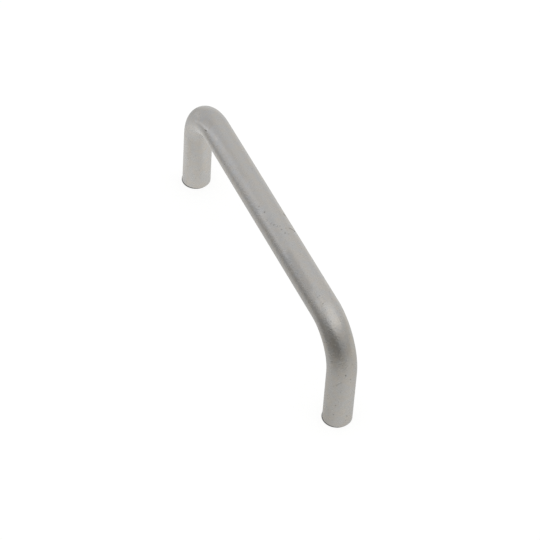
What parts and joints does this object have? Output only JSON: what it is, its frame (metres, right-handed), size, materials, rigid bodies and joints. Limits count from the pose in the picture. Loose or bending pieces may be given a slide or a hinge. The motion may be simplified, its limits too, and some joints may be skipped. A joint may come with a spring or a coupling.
{
  "type": "bar handle",
  "caption": "Round matt aluminium bar bent into a square-shouldered loop, with a tapped hole in each foot: a pull handle for a drawer or cupboard door.",
  "frame": {"origin": "midway between the two screw holes, in the plane of the feet that meets the door or drawer front", "axes": "+X along the grip, +Z out of the door front towards the grip, +Y across the bar"},
  "size_m": [0.104, 0.008, 0.0335],
  "materials": {
    "matt_aluminium": "matt silver anodised, with small pits and marks"
  },
  "bodies": {
    "root": {"handle_bar": "matt_aluminium"}
  },
  "joints": []
}
